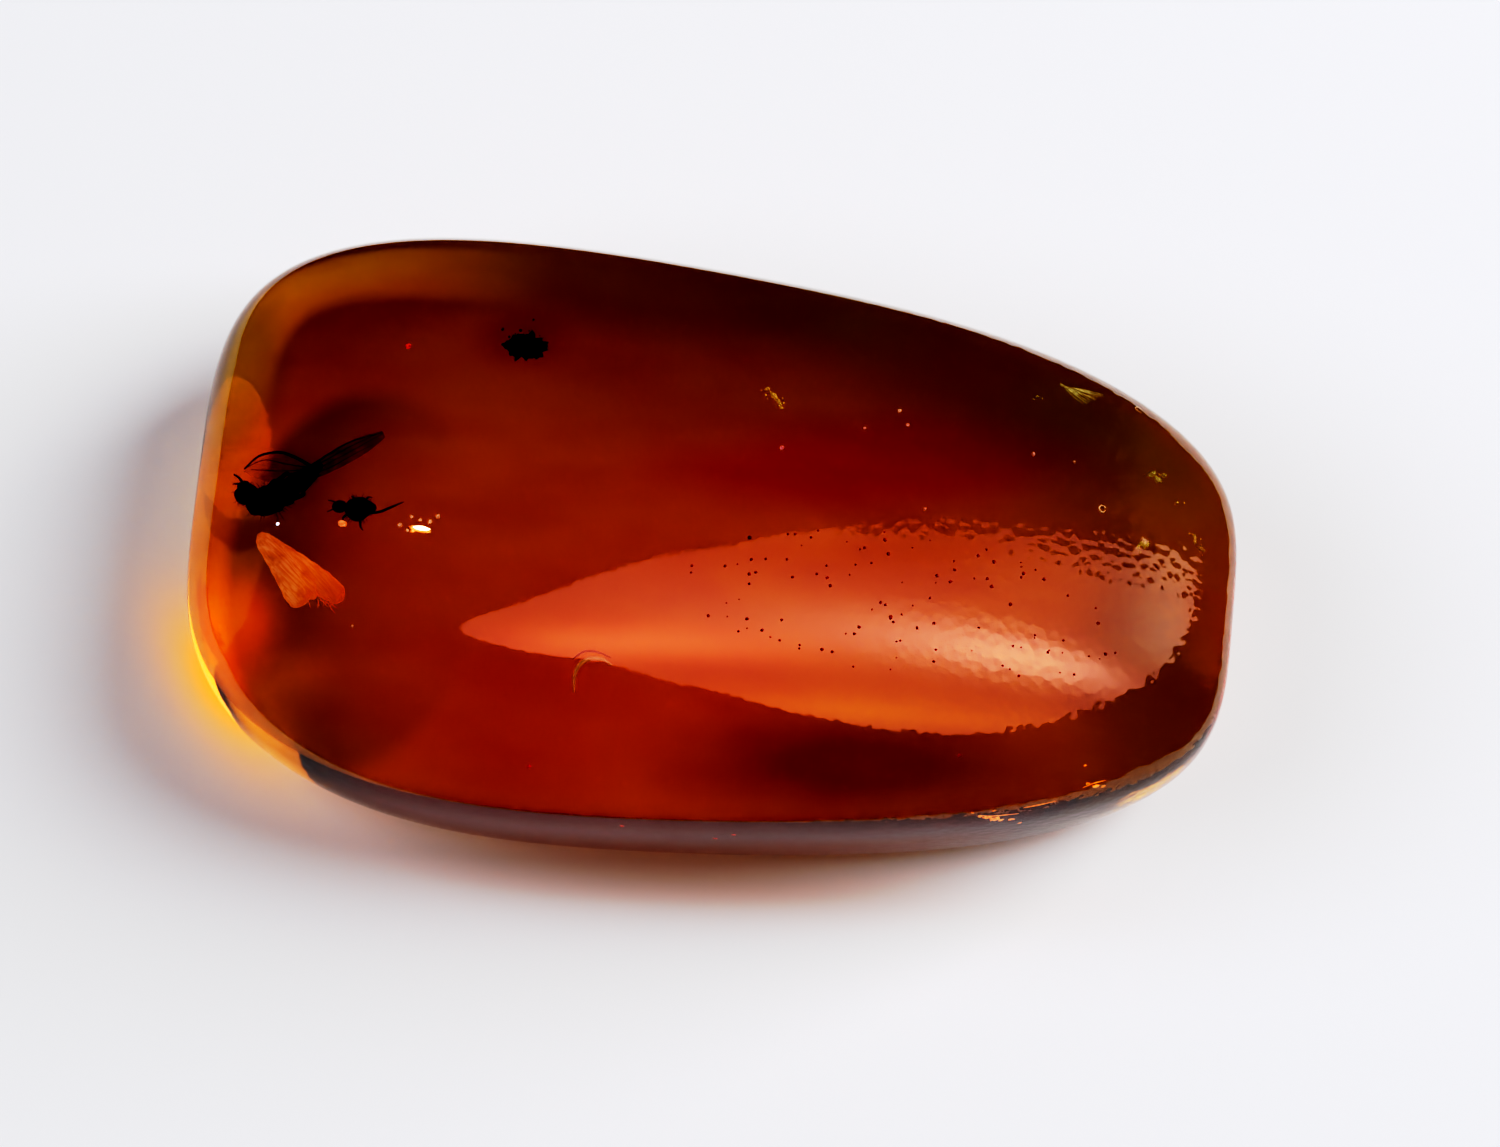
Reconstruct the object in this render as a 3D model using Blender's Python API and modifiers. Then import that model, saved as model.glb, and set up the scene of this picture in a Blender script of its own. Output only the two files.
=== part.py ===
"""Insect in amber: a polished, tapered piece of clear red-brown amber with small inclusions.

Frame: metres, +Z up. The origin is the centre of the box around the stone, on the surface
it rests on. The long axis is X, with the wide end at -X and the narrow end at +X. The
front is at -Y.

The stone is one natural piece. It is parted at its girdle, the level where it is widest,
so that each inclusion can lie in a pocket. One part of every pocket is in the upper solid
and the other part in the lower one.
"""
import math
import random

import bmesh
import bpy
from mathutils import Matrix, Vector

MM = 0.001

# ---- driving dimensions of the stone ------------------------------------------------
LENGTH = 24.4 * MM            # along X
WIDTH = 13.53 * MM            # across Y at the middle, before the ends narrow
HEIGHT = 8.4 * MM             # from the resting face to the top of the dome
GIRDLE_Z = 3.8 * MM           # height of the widest level, where the halves part
GROUND_OFF = 3.0 * MM         # depth of the underside that the flat face has ground away
CENTRE_SHIFT = -0.09 * MM     # moves the leaning outline back to the middle of its box
TAPER = 0.144                 # share of the width lost towards +X, and gained towards -X
END_NARROWING = 0.130         # share of the width lost towards both ends
BOW = 0.016                   # how far both ends lean to the back, in half widths
SLANT = -0.025                # straight lean of the narrow end to the front
SLANT_CURVE = -0.036          # further lean, felt only near the two ends
CORNER_WEAR = 0.080           # how far the front corner of the wide end is worn back
PLAN_SQUARENESS = 4.0         # superellipse exponent of the outline at the girdle
TOP_SQUARENESS = 2.2          # the same at the crown, where the stone is rounder
DOME_FULLNESS = 2.4           # superellipse exponent of the profile above the girdle
KEEL_FULLNESS = 2.37          # the same below the girdle
RIM_ANGLE = math.radians(50)  # profile angle where the grid passes from side to crown
STONE_CUTS = 13               # grid lines across each side of the stone

# ---- clearances ---------------------------------------------------------------------
GAP = 0.3 * MM                # free space between neighbouring solids
POCKET_SIDES = 20

# ---- the winged insect: its body lies in the parting level --------------------------
THORAX = (-9.87 * MM, 0.04 * MM, GIRDLE_Z)
THORAX_HALF = (0.42 * MM, 0.33 * MM, 0.36 * MM)
HEAD = (-10.30 * MM, 0.22 * MM, GIRDLE_Z - 0.05 * MM)
HEAD_HALF = (0.20 * MM, 0.23 * MM, 0.21 * MM)
ABDOMEN_TIP = (-8.87 * MM, 0.97 * MM, GIRDLE_Z - 0.06 * MM)
ABDOMEN_RADIUS = 0.20 * MM
ABDOMEN_RINGS = 5
ABDOMEN_THINNING = 0.65       # share of the radius lost towards the tip
RING_GROOVE = 0.9             # radius in a groove between two rings, as a share
BODY_YAW = math.radians(43)   # heading of the abdomen, from +X towards +Y
WING_ROOT = (-9.68 * MM, 0.24 * MM)
WING_TIP = (-7.64 * MM, 1.71 * MM)
WING_WIDTH = 0.46 * MM
WING_THICKNESS = 0.07 * MM
WING_RISE = 0.20 * MM         # height of the near wing over the body's middle level
WING_TILT = math.radians(-14)
FAR_WING_ROOT = (-9.06 * MM, 0.74 * MM)
FAR_WING_TIP = (-10.40 * MM, 0.76 * MM)
FAR_WING_WIDTH = 0.80 * MM
FAR_WING_RISE = 0.06 * MM
FAR_WING_TILT = math.radians(10)
LEG_RADIUS = 0.045 * MM
LEG_PAIRS = 3
ANTENNA_TIPS = ((-10.64 * MM, 0.62 * MM), (-10.60 * MM, 0.34 * MM))
WINGED_ROOM = ((-9.92 * MM, 0.31 * MM), (-8.06 * MM, 1.40 * MM))
WINGED_REACH = 0.72 * MM      # half width of the room around the body and both wings
WINGED_DEPTH = 0.60 * MM      # how far the folded legs hang below the parting level

# ---- the small insect ---------------------------------------------------------------
SMALL_BODY = (-7.94 * MM, 0.01 * MM, GIRDLE_Z)
SMALL_HALF = (0.30 * MM, 0.27 * MM, 0.24 * MM)
SMALL_HEAD = (-8.32 * MM, 0.04 * MM, GIRDLE_Z)
SMALL_HEAD_HALF = (0.16 * MM, 0.14 * MM, 0.13 * MM)
SMALL_LEG_RADIUS = 0.032 * MM
LONG_LEG_END = (-6.97 * MM, 0.25 * MM, GIRDLE_Z)
SHORT_LEG_REACH = 0.34 * MM
SHORT_LEG_HEADINGS = (55, 115, 165, 215, 290)             # degrees from +X
SMALL_ROOM_END = (-7.24 * MM, 0.16 * MM)
SMALL_REACH = 0.42 * MM
SMALL_DEPTH = 0.30 * MM

# ---- the pale husk and the crumb of bark --------------------------------------------
HUSK_START = (-9.92 * MM, -0.72 * MM, GIRDLE_Z)
HUSK_END = (-8.45 * MM, -1.99 * MM, GIRDLE_Z)
HUSK_NARROW_RADIUS = 0.20 * MM
HUSK_WIDENING = 0.24 * MM     # growth of the radius from the narrow end to the blunt one
HUSK_TIP_SHARE = 0.14         # share of the length taken by the round narrow end
HUSK_BLUNT_SHARE = 0.20       # share of the length taken by the round blunt end
HUSK_RIDGE_WAVES = 4.5
HUSK_RIDGE_HEIGHT = 0.035     # as a share of the radius
HUSK_SIDES = 14
HUSK_STEPS = 16
CRUMB = (-4.74 * MM, 3.87 * MM, GIRDLE_Z)
CRUMB_HALF = (0.42 * MM, 0.27 * MM, 0.24 * MM)
CRUMB_ROUGHNESS = 0.16
CRUMB_SEED = 7

PART = "insect_in_amber"
GUIDES = "cutters_and_joined_pieces"

# colour, roughness, metallic and transmission of each material
FINISHES = {
    "amber": ((0.52, 0.05, 0.005, 1.0), 0.06, 0.0, 1.0),
    "chitin": ((0.015, 0.006, 0.004, 1.0), 0.35, 0.0, 0.0),
    "husk": ((0.62, 0.15, 0.03, 1.0), 0.45, 0.0, 0.0),
    "bark": ((0.03, 0.008, 0.004, 1.0), 0.8, 0.0, 0.0),
}


# ---- helpers ------------------------------------------------------------------------

def new_collection(name):
    collection = bpy.data.collections.new(name)
    bpy.context.scene.collection.children.link(collection)
    return collection


def material(name):
    colour, roughness, metallic, transmission = FINISHES[name]
    made = bpy.data.materials.new(name)
    made.use_nodes = True
    shader = made.node_tree.nodes["Principled BSDF"]
    shader.inputs["Base Color"].default_value = colour
    shader.inputs["Roughness"].default_value = roughness
    shader.inputs["Metallic"].default_value = metallic
    shader.inputs["Transmission Weight"].default_value = transmission
    shader.inputs["IOR"].default_value = 1.54
    made.diffuse_color = colour
    return made


def object_from_grid(name, grid, collection, finish=None):
    """Turn a bmesh into an object with outward, smooth faces."""
    bmesh.ops.recalc_face_normals(grid, faces=grid.faces[:])
    mesh = bpy.data.meshes.new(name)
    grid.to_mesh(mesh)
    grid.free()
    mesh.shade_smooth()
    mesh.set_sharp_from_angle(angle=math.radians(40))
    made = bpy.data.objects.new(name, mesh)
    if finish:
        mesh.materials.append(finish)
    collection.objects.link(made)
    return made


def as_guide(made):
    """A cutter, or a piece that is joined to another, is not a part of its own."""
    made.hide_render = True
    made.display_type = "WIRE"
    return made


def combine(made, operation, collection):
    """Join everything in a collection to an object, or cut it all out of the object."""
    modifier = made.modifiers.new(operation.lower(), "BOOLEAN")
    modifier.operation = operation
    modifier.operand_type = "COLLECTION"
    modifier.collection = collection
    modifier.solver = "EXACT"


def cut(made, cutter):
    modifier = made.modifiers.new("cut", "BOOLEAN")
    modifier.operation = "DIFFERENCE"
    modifier.object = cutter
    modifier.solver = "EXACT"


# ---- the stone ----------------------------------------------------------------------

def cube_grid(cuts):
    """A cube from -1 to 1 whose six sides are even grids."""
    grid = bmesh.new()
    bmesh.ops.create_cube(grid, size=2.0)
    bmesh.ops.subdivide_edges(grid, edges=grid.edges[:], cuts=cuts, use_grid_fill=True)
    return grid


def superellipse(angle, exponent):
    """Point of the first quadrant of a unit superellipse: outward reach and rise."""
    reach, rise = math.cos(angle), math.sin(angle)
    size = (abs(reach) ** exponent + abs(rise) ** exponent) ** (1.0 / exponent)
    return reach / size, rise / size


def lean_and_taper(across, along):
    """Place of a point across the stone, in half widths, once the outline is bent."""
    width = 1.0 - TAPER * along - END_NARROWING * along ** 2
    lean = BOW * along ** 2 + SLANT * along + SLANT_CURVE * along ** 3
    return width * across + lean


def profile(ring, level):
    """Outward reach, rise and height of the stone for a point on the sides of a cube."""
    keel = GIRDLE_Z + GROUND_OFF
    foot_rise = GIRDLE_Z / keel
    foot_reach = (1.0 - foot_rise ** KEEL_FULLNESS) ** (1.0 / KEEL_FULLNESS)
    if level < -1.0 + 1e-6:                               # the flat resting face
        return foot_reach * ring, foot_rise, 0.0
    if level < 0.0:                                       # the side below the girdle
        foot_angle = math.atan2(foot_rise, foot_reach)
        reach, rise = superellipse(-foot_angle * level, KEEL_FULLNESS)
        return reach, rise, GIRDLE_Z - keel * rise
    if level > 1.0 - 1e-6:                                # the crown
        angle = math.pi / 2 + (RIM_ANGLE - math.pi / 2) * ring
    else:                                                 # the side above the girdle
        angle = RIM_ANGLE * level
    reach, rise = superellipse(angle, DOME_FULLNESS)
    return reach, rise, GIRDLE_Z + (HEIGHT - GIRDLE_Z) * rise


def stone_point(cube_point):
    """Carry a point on the sides of a cube to the surface of the stone."""
    a, b, level = cube_point
    ring = max(abs(a), abs(b))
    reach, rise, height = profile(ring, level)
    along = across = 0.0
    if ring > 1e-9:
        squareness = PLAN_SQUARENESS + (TOP_SQUARENESS - PLAN_SQUARENESS) * rise ** 2
        size = (abs(a) ** squareness + abs(b) ** squareness) ** (1.0 / squareness)
        along, across = reach * a / size, reach * b / size
    if along < 0.0 and across < 0.0:
        kept = 1.0 - CORNER_WEAR * (along * across) ** 4
        along, across = kept * along, kept * across
    y = WIDTH / 2 * lean_and_taper(across, along) + CENTRE_SHIFT
    return Vector((LENGTH / 2 * along, y, height))


def stone(name, collection, finish):
    grid = cube_grid(STONE_CUTS)
    for corner in grid.verts:
        corner.co = stone_point(corner.co)
    return object_from_grid(name, grid, collection, finish)


def level_cutter(name, low, high, collection):
    """A block over the whole stone between two heights."""
    grid = bmesh.new()
    bmesh.ops.create_cube(grid, size=1.0)
    for corner in grid.verts:
        corner.co.x *= 2 * LENGTH
        corner.co.y *= 2 * LENGTH
        corner.co.z = high if corner.co.z > 0 else low
    return as_guide(object_from_grid(name, grid, collection))


def pocket(name, start, end, reach, depth, collection):
    """Free space around an inclusion: an upright-walled slot with round ends."""
    first, last = Vector(start[:2]), Vector(end[:2])
    run = last - first
    heading = math.atan2(run.y, run.x)
    grid = bmesh.new()
    bmesh.ops.create_cone(
        grid, cap_ends=True, segments=POCKET_SIDES,
        radius1=reach + GAP, radius2=reach + GAP, depth=2 * (depth + GAP),
    )
    for corner in grid.verts:                             # stretch the round into a slot
        corner.co.x += run.length / 2 * (1 if corner.co.x > 0 else -1)
    place = Matrix.Translation((*((first + last) / 2), GIRDLE_Z))
    bmesh.ops.transform(grid, matrix=place @ Matrix.Rotation(heading, 4, "Z"), verts=grid.verts)
    return as_guide(object_from_grid(name, grid, collection))


# ---- pieces of the inclusions -------------------------------------------------------

def ellipsoid(name, centre, half_axes, yaw, collection, finish=None, sides=14, rings=9):
    grid = bmesh.new()
    bmesh.ops.create_uvsphere(grid, u_segments=sides, v_segments=rings, radius=1.0)
    place = Matrix.Translation(centre) @ Matrix.Rotation(yaw, 4, "Z")
    size = Matrix.Diagonal((*half_axes, 1.0))
    bmesh.ops.transform(grid, matrix=place @ size, verts=grid.verts)
    return object_from_grid(name, grid, collection, finish)


def tube(name, points, radii, collection, resolution=1):
    """A round limb through the points, with a radius at each, as a closed mesh."""
    curve = bpy.data.curves.new(name, "CURVE")
    curve.dimensions = "3D"
    curve.bevel_depth = 1.0
    curve.bevel_resolution = resolution
    curve.use_fill_caps = True
    spline = curve.splines.new("POLY")
    spline.points.add(len(points) - 1)
    for knot, place, radius in zip(spline.points, points, radii):
        knot.co = (*place, 1.0)
        knot.radius = radius
    route = bpy.data.objects.new(name + "_route", curve)
    bpy.context.scene.collection.objects.link(route)
    mesh = bpy.data.meshes.new_from_object(
        route.evaluated_get(bpy.context.evaluated_depsgraph_get()))
    grid = bmesh.new()
    grid.from_mesh(mesh)
    bmesh.ops.remove_doubles(grid, verts=grid.verts[:], dist=1e-6)
    bpy.data.meshes.remove(mesh)
    bpy.data.objects.remove(route)
    return object_from_grid(name, grid, collection)


def wing_blade(name, root, tip, width, height, tilt, collection, cuts=12):
    """A thin leaf-shaped blade from root to tip, widest past its middle."""
    run = Vector(tip) - Vector(root)
    outline = []
    for side in (1, -1):
        for step in range(cuts):
            share = step / cuts if side > 0 else 1.0 - step / cuts
            spread = math.sin(math.pi * share ** 1.4) ** 0.65 if 0 < share < 1 else 0.0
            outline.append((share * run.length, side * width / 2 * spread))
    grid = bmesh.new()
    lower = [grid.verts.new((x, y, -WING_THICKNESS / 2)) for x, y in outline]
    plate = bmesh.ops.extrude_face_region(grid, geom=[grid.faces.new(lower)])
    top = [item for item in plate["geom"] if isinstance(item, bmesh.types.BMVert)]
    bmesh.ops.translate(grid, verts=top, vec=(0, 0, WING_THICKNESS))
    place = Matrix.Translation((*root, height))
    turn = Matrix.Rotation(math.atan2(run.y, run.x), 4, "Z") @ Matrix.Rotation(tilt, 4, "X")
    bmesh.ops.transform(grid, matrix=place @ turn, verts=grid.verts)
    return object_from_grid(name, grid, collection)


def along(start, end, share):
    return Vector(start).lerp(Vector(end), share)


def folded_leg(side, pair):
    """Hip, knee, ankle and toe in millimetres from the thorax, tail towards +X."""
    return (
        (0.14 * (pair - 1), 0.14 * side, -0.22),
        (0.18 + 0.26 * pair, 0.27 * side, -0.36),
        (0.02 + 0.40 * pair, 0.21 * side, -0.50),
        (0.26 + 0.44 * pair, 0.13 * side, -0.53),
    )


def winged_insect(collection, chitin):
    pieces = new_collection("winged_insect_pieces")
    body = ellipsoid("winged_insect", THORAX, THORAX_HALF, BODY_YAW, collection, chitin)
    ellipsoid("head", HEAD, HEAD_HALF, BODY_YAW, pieces)
    start = along(THORAX, ABDOMEN_TIP, 0.15)
    stations, radii = [], []
    for ring in range(2 * ABDOMEN_RINGS + 1):
        share = ring / (2 * ABDOMEN_RINGS)
        swell = 1.0 if ring % 2 else RING_GROOVE
        stations.append(along(start, ABDOMEN_TIP, share))
        radii.append(ABDOMEN_RADIUS * swell * (1.0 - ABDOMEN_THINNING * share ** 1.6))
    tube("abdomen", stations, radii, pieces, resolution=3)
    turn = Matrix.Translation(THORAX) @ Matrix.Rotation(BODY_YAW, 4, "Z")
    for side in (-1, 1):
        for pair in range(LEG_PAIRS):
            route = [turn @ (Vector(knot) * MM) for knot in folded_leg(side, pair)]
            thin = [LEG_RADIUS * share for share in (1.0, 1.15, 0.8, 0.55)]
            tube(f"leg_{pair}_{side}", route, thin, pieces)
    for number, (x, y) in enumerate(ANTENNA_TIPS):
        tip = Vector((x, y, GIRDLE_Z + 0.02 * MM))
        bend = Vector(HEAD).lerp(tip, 0.6) + Vector((0, 0, 0.07 * MM))
        thin = [LEG_RADIUS * share for share in (0.8, 0.7, 0.5)]
        tube(f"antenna_{number}", [HEAD, bend, tip], thin, pieces)
    wing_blade("near_wing", WING_ROOT, WING_TIP, WING_WIDTH, GIRDLE_Z + WING_RISE,
               WING_TILT, pieces)
    wing_blade("far_wing", FAR_WING_ROOT, FAR_WING_TIP, FAR_WING_WIDTH,
               GIRDLE_Z + FAR_WING_RISE, FAR_WING_TILT, pieces)
    for piece in pieces.objects:
        as_guide(piece)
    combine(body, "UNION", pieces)
    return body


def small_insect(collection, chitin):
    pieces = new_collection("small_insect_pieces")
    body = ellipsoid("small_insect", SMALL_BODY, SMALL_HALF, 0.3, collection, chitin,
                     sides=12, rings=8)
    ellipsoid("small_head", SMALL_HEAD, SMALL_HEAD_HALF, 0.0, pieces, sides=10, rings=6)
    centre = Vector(SMALL_BODY)
    middle = centre.lerp(Vector(LONG_LEG_END), 0.55) + Vector((0.0, -0.02 * MM, 0.12 * MM))
    thin = [SMALL_LEG_RADIUS * share for share in (1.1, 1.0, 0.6)]
    tube("long_leg", [centre, middle, LONG_LEG_END], thin, pieces)
    for number, degrees in enumerate(SHORT_LEG_HEADINGS):
        angle = math.radians(degrees)
        out = Vector((math.cos(angle), math.sin(angle), 0.0)) * SHORT_LEG_REACH
        knee = centre + out + Vector((0, 0, 0.04 * MM))
        toe = centre + 1.15 * out + Vector((0.05 * MM, 0, -0.20 * MM))
        tube(f"short_leg_{number}", [centre, knee, toe], thin, pieces)
    for piece in pieces.objects:
        as_guide(piece)
    combine(body, "UNION", pieces)
    return body


def round_end(share):
    """Radius of a half round, from 0 at its end to 1 where the straight side begins."""
    return math.sqrt(max(0.0, 1.0 - (1.0 - min(share, 1.0)) ** 2))


def husk_radius(share):
    """The husk widens from a narrow round end to a blunt one, with low ridges."""
    radius = HUSK_NARROW_RADIUS + HUSK_WIDENING * share ** 1.1
    ridge = 1.0 + HUSK_RIDGE_HEIGHT * math.sin(2 * math.pi * HUSK_RIDGE_WAVES * share)
    ends = round_end(share / HUSK_TIP_SHARE) * round_end((1.0 - share) / HUSK_BLUNT_SHARE)
    return radius * ridge * ends


def pale_husk(collection, finish):
    """A hollow-looking tapered case, turned about its own axis and laid on the slant."""
    first, last = Vector(HUSK_START), Vector(HUSK_END)
    length = (last - first).length
    grid = bmesh.new()
    line = []
    for step in range(HUSK_STEPS + 1):
        share = 1.0 - step / HUSK_STEPS                   # down the outer side
        line.append(grid.verts.new((husk_radius(share), 0.0, share * length)))
    for one, other in zip(line, line[1:]):
        grid.edges.new((one, other))
    mesh = bpy.data.meshes.new("pale_husk")
    grid.to_mesh(mesh)
    grid.free()
    mesh.materials.append(finish)
    case = bpy.data.objects.new("pale_husk", mesh)
    collection.objects.link(case)
    turn = case.modifiers.new("turned", "SCREW")
    turn.steps = turn.render_steps = HUSK_SIDES
    turn.use_merge_vertices = True
    turn.merge_threshold = 0.000001
    run = last - first
    case.location = first
    case.rotation_euler = (0.0, math.pi / 2, math.atan2(run.y, run.x))
    return case


def bark_crumb(collection, finish):
    """An irregular crumb: a flattened ball whose points are pushed in and out."""
    chance = random.Random(CRUMB_SEED)
    grid = bmesh.new()
    bmesh.ops.create_icosphere(grid, subdivisions=2, radius=1.0)
    for corner in grid.verts:
        corner.co *= 1.0 + CRUMB_ROUGHNESS * chance.uniform(-1.0, 1.0)
        for axis in range(3):
            corner.co[axis] = CRUMB[axis] + CRUMB_HALF[axis] * corner.co[axis]
    return object_from_grid("bark_crumb", grid, collection, finish)


# ---- the whole object ---------------------------------------------------------------

def main():
    for old in list(bpy.data.objects):
        bpy.data.objects.remove(old)

    parts = new_collection(PART)
    guides = new_collection(GUIDES)
    pockets = new_collection("pockets")

    winged_insect(parts, material("chitin"))
    small_insect(parts, bpy.data.materials["chitin"])
    pale_husk(parts, material("husk"))
    bark_crumb(parts, material("bark"))

    husk_reach = HUSK_NARROW_RADIUS + HUSK_WIDENING
    pocket("winged_pocket", *WINGED_ROOM, WINGED_REACH, WINGED_DEPTH, pockets)
    pocket("small_pocket", SMALL_BODY, SMALL_ROOM_END, SMALL_REACH, SMALL_DEPTH, pockets)
    pocket("husk_pocket", HUSK_START, HUSK_END, husk_reach, husk_reach, pockets)
    pocket("crumb_pocket", CRUMB, CRUMB, 1.2 * CRUMB_HALF[0], 1.2 * CRUMB_HALF[2], pockets)

    amber = material("amber")
    below = level_cutter("below_parting", -HEIGHT, GIRDLE_Z + GAP / 2, guides)
    above = level_cutter("above_parting", GIRDLE_Z - GAP / 2, 2 * HEIGHT, guides)
    for name, cutter in (("amber_upper", below), ("amber_lower", above)):
        half = stone(name, parts, amber)
        cut(half, cutter)
        combine(half, "DIFFERENCE", pockets)


main()
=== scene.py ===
"""Looks of the insect in amber: one clear polished stone, its inclusions, and a plain stage."""
import math
import random

import bmesh
import bpy
from mathutils import Matrix, Vector, noise


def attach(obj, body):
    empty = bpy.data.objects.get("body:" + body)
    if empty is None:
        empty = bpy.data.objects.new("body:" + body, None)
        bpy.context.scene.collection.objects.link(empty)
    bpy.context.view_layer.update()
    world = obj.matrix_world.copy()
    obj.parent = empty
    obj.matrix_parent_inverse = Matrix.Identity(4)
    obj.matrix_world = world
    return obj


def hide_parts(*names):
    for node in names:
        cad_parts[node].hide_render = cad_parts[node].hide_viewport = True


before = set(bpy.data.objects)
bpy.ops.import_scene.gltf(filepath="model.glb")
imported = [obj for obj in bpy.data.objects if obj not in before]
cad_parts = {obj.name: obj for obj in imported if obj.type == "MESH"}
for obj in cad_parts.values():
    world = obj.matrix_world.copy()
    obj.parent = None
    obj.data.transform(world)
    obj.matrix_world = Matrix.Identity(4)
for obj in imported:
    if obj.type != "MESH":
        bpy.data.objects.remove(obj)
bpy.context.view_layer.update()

MM = 0.001

# ---- the stone, as the CAD has it ----
LENGTH = 24.4 * MM
WIDTH = 13.53 * MM
HEIGHT = 8.4 * MM
GIRDLE_Z = 3.8 * MM
GROUND_OFF = 3.0 * MM
CENTRE_SHIFT = -0.09 * MM
TAPER = 0.144
END_NARROWING = 0.130
BOW = 0.016
SLANT = -0.025
SLANT_CURVE = -0.036
CORNER_WEAR = 0.080
PLAN_SQUARENESS = 4.0
TOP_SQUARENESS = 2.2
DOME_FULLNESS = 2.4
KEEL_FULLNESS = 2.37
RIM_ANGLE = math.radians(50)  # where the side of the mesh hands over to its top
STONE_CUTS = 71
FOOT_ANGLE = math.radians(25)  # edges sharper than this, at the foot, stay sharp
LEVEL = GIRDLE_Z / MM  # height of the parting level in millimetres
TOP = HEIGHT / MM  # height of the dome in millimetres

# ---- camera ----
PHOTO_SIZE = (1500, 1147)
CAMERA_AZIMUTH = 5.8  # degrees; 0 looks along +Y
CAMERA_ELEVATION = 74.0
CAMERA_DISTANCE = 146.2 * MM
CAMERA_LENS_MM = 150.0
SENSOR_MM = 36.0
CLIP_START = 1 * MM
AIM_PIXEL = (713.5, 556.0)  # where the stone's axis meets the girdle level

# ---- shared pieces of the work ----
WHITE = (1.0, 1.0, 1.0)
GLOW_FALL = 1.4  # how fast a soft patch of light fades outwards
TONE_CURVE = (  # scene light in, light out: deep shadows, firm contrast
    (0.0, 0.0), (0.06, 0.003), (0.12, 0.028), (0.2, 0.12), (0.3, 0.28), (0.42, 0.52),
    (0.6, 0.72), (0.87, 0.88), (1.0, 1.0),
)


def set_tones(view):
    """Give the view transform the tone curve, on its combined channel."""
    view.view_transform = "Standard"
    view.use_curve_mapping = True
    points = view.curve_mapping.curves[3].points
    for place in TONE_CURVE[1:-1]:
        points.new(*place)
    view.curve_mapping.update()


def add_object(name, data):
    """Put a mesh, lamp or camera into the scene under a name."""
    made = bpy.data.objects.new(name, data)
    bpy.context.scene.collection.objects.link(made)
    return made


def add_mesh(name, grid, *finishes):
    """Turn a bmesh into an object with its materials, and free the bmesh."""
    mesh = bpy.data.meshes.new(name)
    grid.to_mesh(mesh)
    grid.free()
    for finish in finishes:
        mesh.materials.append(finish)
    return add_object(name, mesh)


def curve_point(p0, p1, p2, p3, t):
    """Catmull-Rom curve: a share t of the way from p1 to p2."""
    return 0.5 * (2 * p1 + (p2 - p0) * t + (2 * p0 - 5 * p1 + 4 * p2 - p3) * t * t
                  + (3 * p1 - p0 - 3 * p2 + p3) * t ** 3)


def ellipse_reach(x, y, centre, half, turn):
    """Distance from the middle of an ellipse turned by some degrees; one is its edge."""
    c, s = math.cos(math.radians(turn)), math.sin(math.radians(turn))
    u, v = x - centre[0], y - centre[1]
    return math.hypot((c * u + s * v) / half[0], (c * v - s * u) / half[1])


def glow_share(x, y, centre, half, turn):
    """Strength of a soft patch of light: one in the middle, a quarter at its edge."""
    return math.exp(-GLOW_FALL * ellipse_reach(x, y, centre, half, turn) ** 2)


def direction(azimuth, elevation):
    """Unit vector towards a place in the sky: azimuth from +Y towards +X, in degrees."""
    a, e = math.radians(azimuth), math.radians(elevation)
    return Vector((math.sin(a) * math.cos(e), math.cos(a) * math.cos(e), math.sin(e)))


def fill_rows(grid, rows):
    """Faces between rows of corners."""
    return [grid.faces.new((one[k], one[k + 1], two[k + 1], two[k]))
            for one, two in zip(rows, rows[1:]) for k in range(len(one) - 1)]


def fill_rings(grid, rings):
    """Faces between closed rings of corners, of which the first is a single corner."""
    count = len(rings[1])
    for index in range(count):
        after = (index + 1) % count
        grid.faces.new((rings[0][0], rings[1][index], rings[1][after]))
        for inner, outer in zip(rings[1:], rings[2:]):
            grid.faces.new((inner[index], outer[index], outer[after], inner[after]))


def look_from(thing, towards, distance, centre=(0.0, 0.0, 0.0)):
    """Put a lamp or camera at a distance in a direction, facing back to the centre."""
    thing.location = Vector(centre) + towards * distance
    thing.rotation_mode = "QUATERNION"
    thing.rotation_quaternion = (-towards).to_track_quat("-Z", "Y")


def make_camera():
    data = bpy.data.cameras.new("camera")
    data.lens = CAMERA_LENS_MM
    data.sensor_width = SENSOR_MM
    data.clip_start = CLIP_START
    data.shift_x = (PHOTO_SIZE[0] / 2 - AIM_PIXEL[0]) / PHOTO_SIZE[0]
    data.shift_y = (AIM_PIXEL[1] - PHOTO_SIZE[1] / 2) / PHOTO_SIZE[0]
    camera = add_object("camera", data)
    back = direction(180.0 - CAMERA_AZIMUTH, CAMERA_ELEVATION)
    look_from(camera, back, CAMERA_DISTANCE, (0.0, 0.0, GIRDLE_Z))
    bpy.context.scene.camera = camera


# ---- shader shorthand ----

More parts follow.
